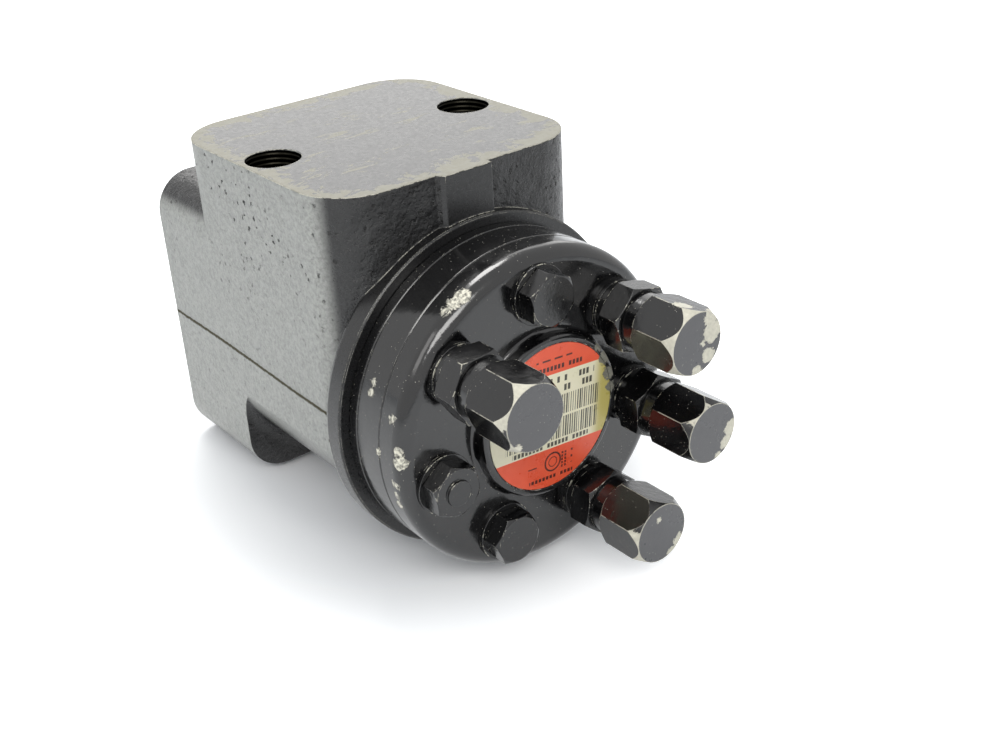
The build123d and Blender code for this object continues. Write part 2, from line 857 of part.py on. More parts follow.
with BuildPart() as cross_pin:
    with BuildSketch(Plane.YZ.offset(-pin_length / 2)):
        with Locations((pin_y, 0)):
            Circle(pin_radius)
    extrude(amount=pin_length)
    chamfer(cross_pin.edges().filter_by(GeomType.CIRCLE), length=0.4)

# ---------------------------------------------------------------- spool
socket_pitch = 2 * pi * (socket_minor + socket_major) / 2 / socket_teeth
with BuildPart() as spool:
    with BuildSketch(Plane.XY):
        Polygon(
            (spool_bore_radius, spool_front),
            (spool_radius, spool_front),
            (spool_radius, spool_rear - 0.5),
            (spool_radius - 0.5, spool_rear),
            (socket_minor, spool_rear),
            (socket_minor, socket_front),
            (spool_bore_radius, socket_front),
            align=None,
        )
    revolve(axis=Axis.Y)
    # splined socket for the steering column shaft
    with BuildSketch(across(spool_rear)):
        with PolarLocations(0, socket_teeth):
            Polygon(
                (socket_minor - 1, -socket_pitch * 0.30),
                (socket_major, -socket_pitch * 0.19),
                (socket_major, socket_pitch * 0.19),
                (socket_minor - 1, socket_pitch * 0.30),
                align=None,
            )
    extrude(amount=spool_rear - socket_front, mode=Mode.SUBTRACT)
    with BuildSketch(Plane.XY.offset(-sleeve_radius)):
        with Locations((0, (window_rear + window_front) / 2)):
            Rectangle(2 * window_half_width, window_rear - window_front)
    extrude(amount=2 * sleeve_radius, mode=Mode.SUBTRACT)
    with BuildSketch(Plane.YZ.offset(-sleeve_radius)):
        with Locations((pin_y, 0)):
            Circle(spool_pin_hole_radius)
    extrude(amount=2 * sleeve_radius, mode=Mode.SUBTRACT)
    # metering pockets milled in the outside
    pocket_rows = (
        (left_groove_y, commutator_y + pocket_lap, 0),
        (pump_groove_y + pocket_lap, commutator_y - pocket_lap, 30),
    )
    for rear_y, front_y, turn in pocket_rows:
        middle = (rear_y + front_y) / 2
        floor = spool_radius - pocket_depth
        with BuildSketch(*[radial(middle, angle + turn, floor) for angle in sixths]):
            Rectangle(rear_y - front_y, pocket_width)
        extrude(amount=2 * pocket_depth, mode=Mode.SUBTRACT)
    drain_y = (tank_groove_y + left_groove_y) / 2
    with BuildSketch(*[radial(drain_y, angle + 30) for angle in sixths]):
        Circle(drain_radius)
    extrude(amount=spool_radius + 1, mode=Mode.SUBTRACT)

# ---------------------------------------------------------------- centring springs
leaf_half = leaf_length / 2
with BuildPart() as centring_springs:
    with BuildSketch(Plane.XZ.offset(-window_rear + 0.1)):
        for side in (-1, 1):
            with Locations((side * (leaf_outer - leaf_thickness / 2), 0)):
                Rectangle(leaf_thickness, leaf_length)
            for layer in (1, 2):
                end_x = leaf_outer - layer * leaf_step
                with BuildLine():
                    outer_arc = ThreePointArc(
                        (side * end_x, leaf_half),
                        (side * (end_x - leaf_bow), 0),
                        (side * end_x, -leaf_half),
                    )
                    inner_arc = ThreePointArc(
                        (side * (end_x - leaf_thickness), leaf_half),
                        (side * (end_x - leaf_thickness - leaf_bow), 0),
                        (side * (end_x - leaf_thickness), -leaf_half),
                    )
                    Line(outer_arc @ 0, inner_arc @ 0)
                    Line(outer_arc @ 1, inner_arc @ 1)
                make_face()
    extrude(amount=leaf_width)

# ---------------------------------------------------------------- cardan shaft
shaft_line = Vector(0, -pin_to_rotor, eccentricity)
shaft_plane = Plane(origin=(0, pin_y, 0), x_dir=(1, 0, 0), z_dir=shaft_line)
head_mean = (head_root + head_tip) / 2
tooth = head_mean * spline_pitch / 2 - spline_side_gap
head_middle = (front_head_start + front_head_end) / 2
side_plane = Plane(origin=shaft_plane.origin, x_dir=shaft_plane.x_dir, z_dir=-shaft_plane.y_dir)
with BuildPart() as crown_limit:
    with BuildSketch(side_plane):
        with BuildLine():
            l1 = Line((0, front_head_start - 0.1), (head_tip - crown, front_head_start - 0.1))
            l2 = ThreePointArc(
                l1 @ 1, (head_tip, head_middle), (head_tip - crown, front_head_end + 0.1)
            )
            l3 = Line(l2 @ 1, (0, front_head_end + 0.1))
            Line(l3 @ 1, l1 @ 0)
        make_face()
    revolve(axis=Axis(shaft_plane.origin, shaft_plane.z_dir))

# the teeth are crowned so that the shaft can tip inside the rotor
with BuildPart() as crowned_head:
    with BuildSketch(shaft_plane.offset(front_head_start)):
        Circle(head_root)
        with PolarLocations(0, cardan_teeth):
            Polygon(
                (head_root - 1, -tooth * 0.62),
                (head_tip, -tooth * 0.34),
                (head_tip, tooth * 0.34),
                (head_root - 1, tooth * 0.62),
                align=None,
            )
    extrude(amount=front_head_end - front_head_start)
    add(crown_limit.part, mode=Mode.INTERSECT)

with BuildPart() as cardan_shaft:
    with BuildSketch(side_plane):
        with BuildLine():
            rear = -fork_rear
            neck = fork_head_length - fork_rear
            l1 = Line((0, rear), (fork_head_radius - crown, rear))
            l2 = ThreePointArc(
                l1 @ 1, (fork_head_radius, 0), (fork_head_radius - crown, -rear)
            )
            l3 = Line(l2 @ 1, (shank_radius, neck))
            l4 = Line(l3 @ 1, (shank_radius, front_head_start - 1.5))
            l5 = Line(l4 @ 1, (head_root - 0.2, front_head_start))
            l6 = Line(l5 @ 1, (0, front_head_start))
            Line(l6 @ 1, l1 @ 0)
        make_face()
    revolve(axis=Axis(shaft_plane.origin, shaft_plane.z_dir))
    # fork that straddles the cross pin
    with BuildSketch(shaft_plane.offset(-fork_rear - 1)):
        Rectangle(2 * fork_head_radius + 2, fork_slot_width)
    extrude(amount=fork_rear + 1 + fork_slot_bottom, mode=Mode.SUBTRACT)
    add(crowned_head.part)

with BuildPart() as spacer:
    with BuildSketch(across(spacer_rear)):
        with Locations((0, eccentricity)):
            Circle(spacer_radius)
    extrude(amount=spacer_rear - spacer_front)

# ---------------------------------------------------------------- files
os.makedirs("parts", exist_ok=True)
housing.part.label = "housing"
export_step(housing.part, "parts/housing.step")
dust_seal.part.label = "dust_seal"
export_step(dust_seal.part, "parts/dust_seal.step")
shaft_seal.part.label = "shaft_seal"
export_step(shaft_seal.part, "parts/shaft_seal.step")
outer_bearing_race.part.label = "outer_bearing_race"
export_step(outer_bearing_race.part, "parts/outer_bearing_race.step")
needle_cage.part.label = "needle_cage"
export_step(needle_cage.part, "parts/needle_cage.step")
bearing_needles.part.label = "bearing_needles"
export_step(bearing_needles.part, "parts/bearing_needles.step")
inner_bearing_race.part.label = "inner_bearing_race"
export_step(inner_bearing_race.part, "parts/inner_bearing_race.step")
spool.part.label = "spool"
export_step(spool.part, "parts/spool.step")
sleeve.part.label = "sleeve"
export_step(sleeve.part, "parts/sleeve.step")
spring_ring.part.label = "spring_ring"
export_step(spring_ring.part, "parts/spring_ring.step")
centring_springs.part.label = "centring_springs"
export_step(centring_springs.part, "parts/centring_springs.step")
cross_pin.part.label = "cross_pin"
export_step(cross_pin.part, "parts/cross_pin.step")
cardan_shaft.part.label = "cardan_shaft"
export_step(cardan_shaft.part, "parts/cardan_shaft.step")
spacer.part.label = "spacer"
export_step(spacer.part, "parts/spacer.step")
distributor_plate.part.label = "distributor_plate"
export_step(distributor_plate.part, "parts/distributor_plate.step")
gear_ring.part.label = "gear_ring"
export_step(gear_ring.part, "parts/gear_ring.step")
gear_rotor.part.label = "gear_rotor"
export_step(gear_rotor.part, "parts/gear_rotor.step")
end_cover.part.label = "end_cover"
export_step(end_cover.part, "parts/end_cover.step")
label_plate.part.label = "label_plate"
export_step(label_plate.part, "parts/label_plate.step")
for name, seal_ring in seal_rings.items():
    seal_ring.part.label = name
    export_step(seal_ring.part, "parts/" + name + ".step")
washers.part.label = "washers"
export_step(washers.part, "parts/washers.step")
cover_screws.part.label = "cover_screws"
export_step(cover_screws.part, "parts/cover_screws.step")
check_screw.part.label = "check_screw"
export_step(check_screw.part, "parts/check_screw.step")
cover_studs.part.label = "cover_studs"
export_step(cover_studs.part, "parts/cover_studs.step")
stud_nuts.part.label = "stud_nuts"
export_step(stud_nuts.part, "parts/stud_nuts.step")
cap_nuts.part.label = "cap_nuts"
export_step(cap_nuts.part, "parts/cap_nuts.step")
check_ball.part.label = "check_ball"
export_step(check_ball.part, "parts/check_ball.step")
check_seat.part.label = "check_seat"
export_step(check_seat.part, "parts/check_seat.step")
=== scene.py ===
import math
import bpy
from mathutils import Matrix, Vector

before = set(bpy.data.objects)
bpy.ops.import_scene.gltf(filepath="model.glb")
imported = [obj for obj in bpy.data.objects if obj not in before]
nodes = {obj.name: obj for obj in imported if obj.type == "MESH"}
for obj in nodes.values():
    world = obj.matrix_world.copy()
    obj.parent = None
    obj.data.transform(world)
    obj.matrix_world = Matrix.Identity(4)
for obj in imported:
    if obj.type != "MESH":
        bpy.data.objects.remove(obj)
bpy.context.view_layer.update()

scene = bpy.context.scene
MM = 0.001

# ------------------------------------------------------------------ camera
right = Vector((0.77604, -0.628797, -0.048745))
down = Vector((-0.331095, -0.340404, -0.880058))
ahead = Vector((0.536785, 0.699099, -0.472359))
camera_data = bpy.data.cameras.new("camera")
camera_data.sensor_width = 36.0
camera_data.lens = 47.698
camera_data.clip_start = 0.01
camera_data.clip_end = 20.0
camera = bpy.data.objects.new("camera", camera_data)
scene.collection.objects.link(camera)
camera.matrix_world = Matrix.Translation((-0.190222, -0.357395, 0.17153)) @ Matrix(
    ((right.x, -down.x, -ahead.x), (right.y, -down.y, -ahead.y), (right.z, -down.z, -ahead.z))
).to_4x4()
scene.camera = camera
scene.view_settings.view_transform = "Standard"


# ------------------------------------------------------------------ nodes of a material
SOFT = "SMOOTHSTEP"


def linear(code):
    """Linear colour of an sRGB hex code."""
    out = []
    for k in (1, 3, 5):
        c = int(code[k:k + 2], 16) / 255.0
        out.append(c / 12.92 if c <= 0.04045 else ((c + 0.055) / 1.055) ** 2.4)
    return (*out, 1.0)


def feed(m, socket, value):
    """A socket takes a plain value, or a line from another node."""
    if isinstance(value, bpy.types.NodeSocket):
        m.node_tree.links.new(value, socket)
    else:
        socket.default_value = value


def add(m, kind, *inputs, out=0, **more):
    """One shader node. Inputs come in the order of its live sockets or by capitalised name, the
    lower-case names are its settings, and sums and products go on over any number of inputs."""
    node = m.node_tree.nodes.new("ShaderNode" + kind)
    for key, value in more.items():
        if key[0].islower():
            setattr(node, key, value)
    live = [socket for socket in node.inputs if socket.enabled]
    for socket, value in zip(live, inputs):
        feed(m, socket, value)
    for key, value in more.items():
        if key[0].isupper():
            feed(m, next(s for s in live if s.name == key.replace("_", " ")), value)
    if not node.outputs:
        return node
    given = [socket for socket in node.outputs if socket.enabled]
    result = given[out] if isinstance(out, int) else node.outputs[out]
    if kind == "Math" and len(inputs) > 2:
        return add(m, kind, result, *inputs[2:], **more)
    return result


def new_material(name, ior=1.5):
    m = bpy.data.materials.new(name)
    m.use_nodes = True
    m.node_tree.nodes.clear()
    skin = add(m, "BsdfPrincipled", IOR=ior)
    add(m, "OutputMaterial", skin)
    return m, skin.node


def place_mm(m):
    """The shaded point in millimetres of the part: as a vector, and as x, y and z."""
    metres = add(m, "TexCoord", out="Object")
    p = add(m, "VectorMath", metres, (1000, 1000, 1000), operation="MULTIPLY")
    split = add(m, "SeparateXYZ", p).node
    return p, split.outputs[0], split.outputs[1], split.outputs[2]


def facing(m):
    """The way the surface faces: x, y and z."""
    split = add(m, "SeparateXYZ", add(m, "NewGeometry", out="Normal")).node
    return split.outputs[0], split.outputs[1], split.outputs[2]


def within(m, value, low, high):
    """1 where the value lies between two limits."""
    above = add(m, "Math", value, low, operation="GREATER_THAN")
    below = add(m, "Math", value, high, operation="LESS_THAN")
    return add(m, "Math", above, below, operation="MULTIPLY")


def off_axis(m, a, b, centre):
    """Distance in millimetres from an axis that runs square to the two coordinates."""
    da = add(m, "Math", a, centre[0], operation="SUBTRACT")
    db = add(m, "Math", b, centre[1], operation="SUBTRACT")
    square_a = add(m, "Math", da, da, operation="MULTIPLY")
    square_b = add(m, "Math", db, db, operation="MULTIPLY")
    return add(m, "Math", add(m, "Math", square_a, square_b, operation="ADD"), operation="SQRT")


def sharp_edges(m, radius_mm, low, high):
    """1 on sharp edges, 0 on even ground."""
    broken = add(m, "Bevel", radius_mm * MM, samples=8)
    straight = add(m, "NewGeometry", out="Normal")
    return add(
        m, "MapRange",
        add(m, "VectorMath", broken, straight, operation="DOT_PRODUCT"),
        high, low,
        interpolation_type=SOFT,
    )


def spots(m, p, places, ragged):
    """Ragged patches round points given as x, y, z and radius in millimetres."""
    depth = None
    for x, y, z, radius in places:
        away = add(m, "VectorMath", p, (x, y, z), operation="DISTANCE")
        inside = add(m, "Math", radius, away, operation="SUBTRACT")
        depth = inside if depth is None else add(m, "Math", depth, inside, operation="MAXIMUM")
    torn = add(m, "TexNoise", p, 0.6, 6.0, 0.75, Distortion=0.8)
    torn = add(
        m, "Math",
        add(m, "Math", torn, 0.5, operation="SUBTRACT"),
        ragged,
        operation="MULTIPLY",
    )
    return add(
        m, "MapRange",
        add(m, "Math", depth, torn, operation="ADD"),
        -0.1, 0.1,
        interpolation_type=SOFT,
    )


def specks(m, p, per_mm, size, share):
    """Scattered specks: a share of the cells of a foam holds one, of a size in cells."""
    cells = add(m, "TexVoronoi", p, per_mm).node
    near = add(
        m, "MapRange", cells.outputs["Distance"], size, 0.6 * size,
        interpolation_type=SOFT,
    )
    lot = add(m, "SeparateXYZ", cells.outputs["Color"])
    return add(
        m, "Math", near,
        add(m, "Math", lot, share, operation="LESS_THAN"),
        operation="MULTIPLY",
    )


def finish(m, shader, colour, rough, metallic, height, round_mm):
    """Colour, gloss and relief on the shader, with the edges broken to a small radius."""
    broken = add(m, "Bevel", round_mm * MM, samples=8)
    feed(m, shader.inputs["Base Color"], colour)
    feed(m, shader.inputs["Roughness"], rough)
    feed(m, shader.inputs["Metallic"], metallic)
    feed(m, shader.inputs["Normal"], add(m, "Bump", Height=height, Distance=MM, Normal=broken))


# ------------------------------------------------------------------ enamel
BLACK = linear("#0b0b0c")
BARE = linear("#dedac9")
DULL = linear("#a39f8f")
GREYED = linear("#6e6c63")
DUST = linear("#a5a195")

# worn places in millimetres: x, y, z and radius
COVER_WEAR = [
    (-24.4, -124.0, 39.6, 3.0), (-21.8, -124.2, 40.0, 2.6), (-26.6, -123.5, 38.0, 2.2),
    (-41.2, -112.0, 18.6, 1.1), (-41.4, -112.0, 15.6, 1.2), (-42.8, -121.8, 12.9, 1.3),
    (-44.6, -116.8, 2.1, 1.0), (-43.8, -125.1, 2.1, 1.9), (-43.6, -124.6, 4.8, 1.4),
    (-44.4, -122.8, -4.8, 1.2), (-43.9, -122.4, -8.4, 1.0), (-43.2, -122.1, -11.6, 1.2),
]
CAP_CHIPS = [
    (31.6, -156.2, 22.6, 3.0), (30.4, -156.2, 16.4, 2.2), (26.2, -156.2, 13.4, 1.7),
    (28.2, -156.2, 20.4, 0.9), (31.0, -156.2, 26.6, 2.4), (26.4, -151.0, 30.6, 2.6),
    (40.2, -156.0, -8.6, 2.6), (38.2, -156.0, -12.2, 2.2), (35.2, -156.0, -15.6, 1.4),
    (21.2, -156.0, -35.4, 2.2), (18.8, -156.0, -38.0, 2.0), (15.8, -156.0, -39.8, 1.0),
    (13.6, -156.2, -25.6, 0.8), (-32.2, -156.2, 14.6, 1.5), (23.0, -151.0, -13.0, 1.4),
]
CAP_CHAMFERS = [
    (26.3, -154.6, 21.0, 12.5), (7.0, -154.0, -32.0, 5.6), (29.0, -154.6, -1.0, 3.6),
    (-34.6, -154.0, 24.0, 4.0), (-29.6, -154.0, 29.0, 4.6), (-32.5, -154.0, 13.5, 4.2),
]
CAP_END = -156.2
CAP_CONE = 3.8
# the caps are rubbed more and more from here towards their ends
CAP_WEAR = (-138.0, -152.0)


def turned_enamel():
    """Gloss black enamel sprayed on turned steel: a soft mirror with a little orange peel, pale
    dust specks, thin bare lines on rubbed edges and ragged chips down to the pale primer."""
    m, shader = new_material("black_enamel_on_turned_steel", 1.66)
    p = place_mm(m)[0]
    cloud = add(m, "TexNoise", p, 0.10, 4.0, 0.6)
    fine = add(m, "TexNoise", p, 1.1, 4.0, 0.6)
    edge = sharp_edges(m, 0.45, 0.80, 0.98)
    patchy = add(
        m, "MapRange",
        add(m, "TexNoise", p, 0.5, 4.0, 0.7),
        0.50, 0.58,
        interpolation_type=SOFT,
    )
    rubbed = add(m, "Math", edge, patchy, operation="MULTIPLY")
    worn = add(m, "Math", rubbed, spots(m, p, COVER_WEAR, 4.5), operation="MAXIMUM")
    # specks a quarter of a millimetre wide, thicker where dust settled in clouds
    thick = add(m, "MapRange", cloud, 0.40, 0.60, 0.3, 1.0, interpolation_type=SOFT)
    dust = add(m, "Math", specks(m, p, 1.0, 0.14, 0.5), thick, operation="MULTIPLY")
    wipes = add(m, "VectorMath", p, (1.0, 0.35, 0.5), operation="MULTIPLY")
    scuff = add(
        m, "MapRange",
        add(m, "TexNoise", wipes, 0.7, 5.0, 0.72),
        0.60, 0.76,
        interpolation_type=SOFT,
    )
    primer = add(
        m, "Mix",
        add(m, "MapRange", fine, 0.35, 0.65, interpolation_type=SOFT),
        GREYED, BARE,
        data_type="RGBA",
    )
    colour = add(m, "Mix", dust, BLACK, DUST, data_type="RGBA")
    colour = add(m, "Mix", worn, colour, primer, data_type="RGBA")
    gloss = add(m, "MapRange", cloud, 0.3, 0.7, 0.10, 0.22, interpolation_type=SOFT)
    scuffed = add(m, "Math", scuff, 0.16, operation="MULTIPLY")
    dusted = add(m, "Math", dust, 0.4, operation="MULTIPLY")
    rough = add(m, "Math", gloss, scuffed, dusted, operation="ADD")
    rough = add(m, "Mix", worn, rough, 0.46)
    metallic = add(m, "Math", worn, 0.25, operation="MULTIPLY")
    peel = add(m, "Math", add(m, "TexNoise", p, 0.55, 2.0, 0.5), 0.035, operation="MULTIPLY")
    lost = add(m, "Math", worn, -0.05, operation="MULTIPLY")
    grit = add(m, "Math", dust, 0.04, operation="MULTIPLY")
    finish(
        m, shader, colour, rough, metallic,
        add(m, "Math", peel, lost, grit, operation="ADD"),
        0.35,
    )
    soiled(m, shader, p)
    return m


def nut_enamel():
    """Thick black enamel on nuts and caps. The spanner and the floor took it off the corner cones,
    the corners and part of the end faces, down to cream primer with a crisp broken edge; the end
    faces are rubbed to satin and painted a mid grey that stands for the reflection they show."""
    m, shader = new_material("black_enamel_on_nuts", 1.62)
    p, _, y, _ = place_mm(m)
    ny = facing(m)[1]
    cloud = add(m, "TexNoise", p, 0.10, 4.0, 0.6)
    fine = add(m, "TexNoise", p, 1.1, 4.0, 0.6)
    ahead_end = add(m, "Math", y, CAP_END + CAP_CONE, operation="LESS_THAN")
    cone = add(m, "Math", within(m, ny, -0.62, -0.2), ahead_end, operation="MULTIPLY")
    worn_cone = add(m, "Math", cone, spots(m, p, CAP_CHAMFERS, 5.0), operation="MULTIPLY")
    near_end = add(m, "MapRange", y, *CAP_WEAR, 0.0, 0.17, interpolation_type=SOFT)
    patchy = add(m, "Math", add(m, "TexNoise", p, 0.32, 5.0, 0.72), near_end, operation="ADD")
    edge = sharp_edges(m, 0.4, 0.95, 0.993)
    rubbed = add(
        m, "Math", edge,
        add(m, "MapRange", patchy, 0.53, 0.60, interpolation_type=SOFT),
        operation="MULTIPLY",
    )
    worn = add(m, "Math", worn_cone, rubbed, spots(m, p, CAP_CHIPS, 4.0), operation="MAXIMUM")
    dust = add(m, "Math", specks(m, p, 1.0, 0.14, 0.4), 0.7, operation="MULTIPLY")
    end_face = add(m, "Math", ny, -0.97, operation="LESS_THAN")
    end_face = add(
        m, "Math", end_face,
        add(m, "Math", y, CAP_END + 0.3, operation="LESS_THAN"),
        operation="MULTIPLY",
    )
    primer = add(m, "Mix", fine, DULL, BARE, data_type="RGBA")
    # end faces painted mid grey: painted reflection of the bright floor in front of them, over
    # satin black paint
    colour = add(m, "Mix", end_face, BLACK, linear("#464648"), data_type="RGBA")
    colour = add(m, "Mix", dust, colour, DUST, data_type="RGBA")
    colour = add(m, "Mix", worn, colour, primer, data_type="RGBA")
    satin = add(m, "Math", end_face, 0.12, operation="MULTIPLY")
    rough = add(
        m, "Math",
        add(m, "MapRange", cloud, 0.3, 0.7, 0.12, 0.24, interpolation_type=SOFT),
        satin,
        operation="ADD",
    )
    rough = add(m, "Mix", worn, rough, 0.44)
    metallic = add(m, "Math", worn, 0.2, operation="MULTIPLY")
    peel = add(m, "Math", add(m, "TexNoise", p, 0.5, 3.0, 0.55), 0.06, operation="MULTIPLY")
    lost = add(m, "Math", worn, -0.07, operation="MULTIPLY")
    grit = add(m, "Math", dust, 0.05, operation="MULTIPLY")
    finish(
        m, shader, colour, rough, metallic,
        add(m, "Math", peel, lost, grit, operation="ADD"),
        0.3,
    )
    return m


# ------------------------------------------------------------------ casting
# places and sizes of its machined faces and holes, in millimetres
PORT_FACE = 60.5
PORTS_TOP = ((-31.4, -58.3), (31.4, -58.3))
PORTS_SIDE = ((-44.0, 7.0), (-75.0, 7.0))
PORT_RADIUS = 7.5
PORT_PITCH = 1.337
COLUMN_OFFSET = 29.17
COLUMN_PITCH = 1.5
PORT_BOTTOM = 40.0
SIDE_PORT_INNER = 15.0
SIDE_PORT_OUTER = 39.6
BORE_RADIUS = 22.5
COLUMN_HOLE_RADIUS = 4.35
COLUMN_HOLE_END = -18.5
COLUMN_HOLE_MOUTH = -0.3
RIM_REAR = -98.7
RIM_RADIUS = 47.7
PAD_FACE = -101.6
# the flash line drops a little on its way from the flange to the rim
SEAM_BEND = (-20.0, -85.0)
SEAM_DROP = 1.4
# the port face is a rounded rectangle: middle, straight half sides and corner radius
FACE_MIDDLE_Y = -59.15
FACE_STRAIGHT_X = 24.5
FACE_STRAIGHT_Y = 25.5
FACE_CORNER = 16.0
# usual width of the bare band along its edge
BAND_WIDTH = 4.7


def thread(m, hole, along, a, b, centre, pitch):
    """Relief of a screw thread in a hole: one ridge per pitch round its axis."""
    da = add(m, "Math", a, centre[0], operation="SUBTRACT")
    db = add(m, "Math", b, centre[1], operation="SUBTRACT")
    turn = add(m, "Math", da, db, operation="ARCTAN2")
    rise = add(m, "Math", along, 2 * math.pi / pitch, operation="MULTIPLY")
    wave = add(m, "Math", add(m, "Math", rise, turn, operation="ADD"), operation="SINE")
    return add(m, "Math", wave, hole, 0.12, operation="MULTIPLY")


def cast_enamel():
    """Black enamel over a rough sand casting. The sand leaves grains, lumps and blow holes that
    the paint rounds over; the sides are rougher and painted a light grey that stands for the sheen
    of the bright floor they reflect; the mould halves leave a dark flash line; the port face, the
    rim and the bores are machined. The port face lost its paint in a ragged band along its edges
    and in thin scratches."""
    m, shader = new_material("black_enamel_on_cast_iron", 1.58)
    p, x, y, z = place_mm(m)
    nx, ny, nz = facing(m)
    high = add(m, "Math", z, PORT_FACE - 0.15, operation="GREATER_THAN")
    port_face = add(
        m, "Math", high,
        add(m, "Math", nz, 0.95, operation="GREATER_THAN"),
        operation="MULTIPLY",
    )
    column_face = add(m, "Math", ny, 0.95, operation="GREATER_THAN")
    column_face = add(
        m, "Math", column_face,
        add(m, "Math", y, COLUMN_HOLE_MOUTH, operation="GREATER_THAN"),
        operation="MULTIPLY",
    )
    from_axis = off_axis(m, x, z, (0, 0))
    holes = add(m, "Math", from_axis, BORE_RADIUS, operation="LESS_THAN")
    rim = add(m, "Math", y, RIM_REAR + 0.1, operation="LESS_THAN")
    rim = add(
        m, "Math", rim,
        add(m, "Math", from_axis, RIM_RADIUS + 0.1, operation="LESS_THAN"),
        operation="MULTIPLY",
    )
    pad = add(m, "Math", y, PAD_FACE, operation="LESS_THAN")
    pad = add(
        m, "Math", pad,
        add(m, "Math", from_axis, RIM_RADIUS + 0.1, operation="GREATER_THAN"),
        operation="MULTIPLY",
    )
    ridges = 0.0
    for centre in PORTS_TOP:
        hole = add(m, "Math", off_axis(m, x, y, centre), PORT_RADIUS + 0.1, operation="LESS_THAN")
        hole = add(
            m, "Math", hole,
            within(m, z, PORT_BOTTOM, PORT_FACE - 0.3),
            operation="MULTIPLY",
        )
        holes = add(m, "Math", holes, hole, operation="MAXIMUM")
        ridge = thread(m, hole, z, x, y, centre, PORT_PITCH)
        ridges = add(m, "Math", ridge, ridges, operation="ADD")
    for centre in PORTS_SIDE:
        hole = add(m, "Math", off_axis(m, y, z, centre), PORT_RADIUS + 0.1, operation="LESS_THAN")
        hole = add(
            m, "Math", hole,
            within(m, x, SIDE_PORT_INNER, SIDE_PORT_OUTER),
            operation="MULTIPLY",
        )
        holes = add(m, "Math", holes, hole, operation="MAXIMUM")
        ridge = thread(m, hole, x, y, z, centre, PORT_PITCH)
        ridges = add(m, "Math", ridge, ridges, operation="ADD")
    corner = (COLUMN_OFFSET, COLUMN_OFFSET)
    reach_x = add(m, "Math", x, operation="ABSOLUTE")
    reach_z = add(m, "Math", z, operation="ABSOLUTE")
    hole = add(
        m, "Math",
        off_axis(m, reach_x, reach_z, corner),
        COLUMN_HOLE_RADIUS,
        operation="LESS_THAN",
    )
    hole = add(
        m, "Math", hole,
        within(m, y, COLUMN_HOLE_END, COLUMN_HOLE_MOUTH),
        operation="MULTIPLY",
    )
    holes = add(m, "Math", holes, hole, operation="MAXIMUM")
    ridge = thread(m, hole, y, reach_x, reach_z, corner, COLUMN_PITCH)
    ridges = add(m, "Math", ridge, ridges, operation="ADD")
    machined = add(m, "Math", port_face, column_face, rim, pad, holes, operation="MAXIMUM")
    sand = add(m, "Math", 1.0, machined, operation="SUBTRACT")

    # grains about 1 mm, lumps about 6 mm, and blow holes 1 mm wide, thickest near the top
    grain = add(m, "TexNoise", p, 1.0, 4.0, 0.66)
    lump = add(m, "TexNoise", p, 0.16, 3.0, 0.5)
    wander = add(m, "TexNoise", p, 0.06, 2.0, 0.5)
    crowded = add(
        m, "Math",
        add(m, "MapRange", wander, 0.44, 0.56, interpolation_type=SOFT),
        add(m, "MapRange", z, 10.0, 52.0, 0.25, 1.0, interpolation_type=SOFT),
        operation="MULTIPLY",
    )
    crooked = add(m, "TexNoise", p, 0.9, 2.0, 0.6, out="Color")
    crooked = add(
        m, "VectorMath", p,
        add(m, "VectorMath", crooked, (2.2, 2.2, 2.2), operation="MULTIPLY"),
        operation="ADD",
    )
    foam = add(m, "TexVoronoi", crooked, 0.36, out="Distance")
    pit = add(
        m, "Math",
        add(m, "MapRange", foam, 0.25, 0.10, interpolation_type=SOFT),
        crowded, sand,
        operation="MULTIPLY",
    )

    # flash line where the mould halves met, half a millimetre wide
    wavy = add(m, "Math", grain, 0.5, operation="SUBTRACT")
    seam_z = add(
        m, "Math",
        add(m, "MapRange", y, *SEAM_BEND, 0.0, -SEAM_DROP, interpolation_type=SOFT),
        wavy,
        operation="ADD",
    )
    seam_far = add(
        m, "Math",
        add(m, "Math", z, seam_z, operation="SUBTRACT"),
        operation="ABSOLUTE",
    )
    sideways = add(
        m, "MapRange",
        add(m, "Math", nx, operation="ABSOLUTE"),
        0.80, 0.975,
        interpolation_type=SOFT,
    )
    behind_rim = add(m, "Math", y, RIM_REAR, operation="GREATER_THAN")
    on_side = add(m, "Math", sideways, sand, behind_rim, operation="MULTIPLY")
    seam = add(
        m, "Math",
        add(m, "MapRange", seam_far, 0.7, 0.3, interpolation_type=SOFT),
        on_side,
        operation="MULTIPLY",
    )
    lip = add(
        m, "Math",
        add(m, "MapRange", seam_far, 1.6, 0.6, interpolation_type=SOFT),
        on_side,
        operation="MULTIPLY",
    )

    rise = add(
        m, "Math",
        add(m, "Math", grain, 0.36, operation="MULTIPLY"),
        add(m, "Math", lump, 1.2, operation="MULTIPLY"),
        add(m, "Math", pit, -0.4, operation="MULTIPLY"),
        operation="ADD",
    )
    rise = add(m, "Math", rise, sand, operation="MULTIPLY")
    lip_rise = add(m, "Math", lip, 0.14, operation="MULTIPLY")
    seam_rise = add(m, "Math", seam, -0.3, operation="MULTIPLY")
    stretched = add(m, "VectorMath", p, (0.5, 0.03, 0.5), operation="MULTIPLY")
    cutter = add(
        m, "Math",
        add(m, "TexNoise", stretched, 2.0, 2.0, 0.5),
        machined, 0.012,
        operation="MULTIPLY",
    )
    height = add(m, "Math", rise, lip_rise, seam_rise, cutter, ridges, operation="ADD")

